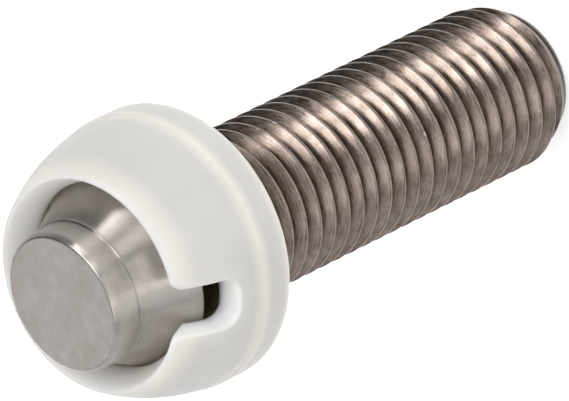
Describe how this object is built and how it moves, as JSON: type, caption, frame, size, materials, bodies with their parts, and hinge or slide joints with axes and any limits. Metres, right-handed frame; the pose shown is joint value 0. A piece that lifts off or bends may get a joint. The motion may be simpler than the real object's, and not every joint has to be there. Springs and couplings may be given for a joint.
{
  "type": "valve adjusting screw",
  "caption": "Threaded adjusting screw with a ball end that carries a swivelling steel foot, held on by a domed translucent plastic retainer with a relief slot.",
  "frame": {"origin": "middle of the flat threaded end, which the part stands on", "axes": "+Z along the screw, from the threaded end to the ball; the foot leans towards +X at rest"},
  "size_m": [0.02, 0.02, 0.0482],
  "materials": {
    "screw_steel": "dark hardened steel, slightly brown",
    "foot_steel": "turned satin steel",
    "milky_plastic": "milky translucent moulded nylon, satin"
  },
  "bodies": {
    "screw": {"adjusting_screw": "screw_steel"},
    "retainer_cap": {"retainer": "milky_plastic"},
    "foot": {"swivel_foot": "foot_steel"}
  },
  "joints": [
    {"name": "retainer_turn", "type": "hinge", "parent": "screw", "child": "retainer_cap", "pos_m": [0, 0, 0.0388], "axis": [0, 0, 1], "continuous": true},
    {"name": "foot_lean", "type": "hinge", "parent": "retainer_cap", "child": "foot", "pos_m": [0, 0, 0.0388], "axis": [0, 1, 0], "range_deg": [-11.4, 0.8]}
  ]
}
